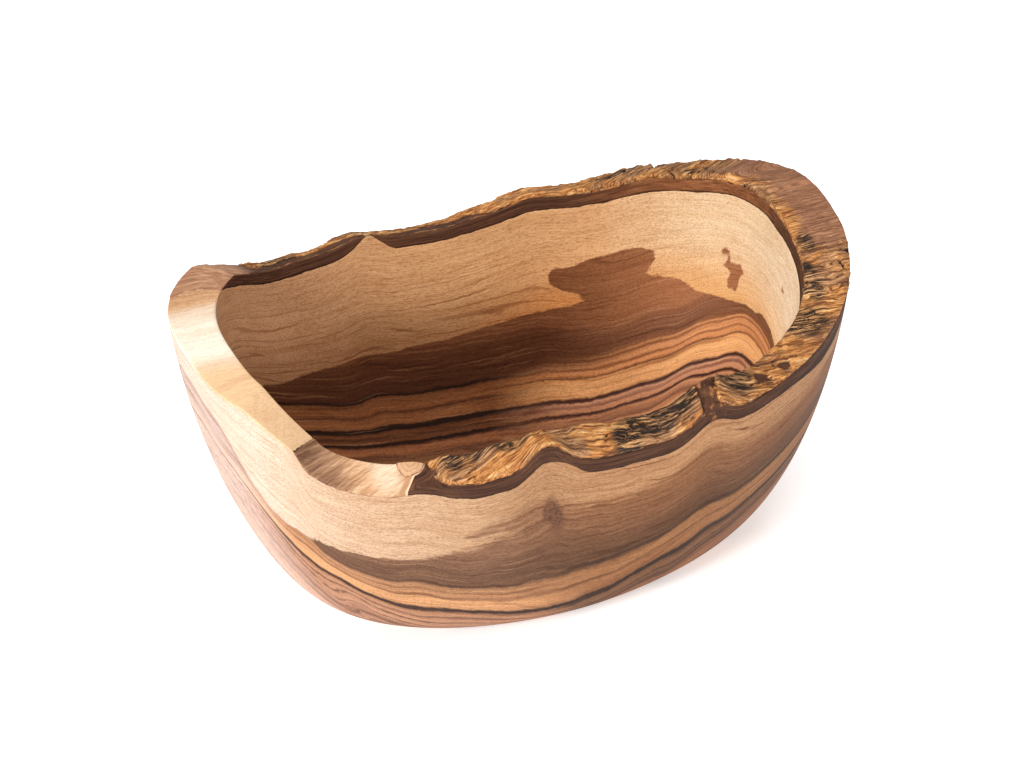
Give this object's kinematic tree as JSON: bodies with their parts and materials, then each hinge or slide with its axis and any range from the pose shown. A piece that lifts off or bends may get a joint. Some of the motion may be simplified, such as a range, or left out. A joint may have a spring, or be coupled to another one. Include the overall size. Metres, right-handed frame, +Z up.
{
  "type": "yarn bowl",
  "caption": "Oval wooden bowl carved from a half log, with a deep hollow, a flat foot and a natural bark edge around its rim.",
  "frame": {"origin": "on the flat foot's underside, below the centre of the rim", "axes": "+X along the log and the long side, away from the sanded pale end; +Y towards the higher side wall; +Z up"},
  "size_m": [0.22, 0.1289, 0.1066],
  "materials": {
    "wood": "sanded smooth and lightly oiled olive-type wood, pale sapwood and dark heartwood",
    "inner_bark": "dark brown fibrous inner bark, matt",
    "bark_crust": "rough outer bark, ridged along its fibres, dry and matt",
    "knot": "end grain of a dead branch, sanded flush"
  },
  "bodies": {
    "root": {"wood_body": "wood", "inner_bark": "inner_bark", "bark_crust_front": "bark_crust", "bark_crust_end": "bark_crust", "bark_crust_back": "bark_crust", "rim_knot": "knot"}
  },
  "joints": []
}
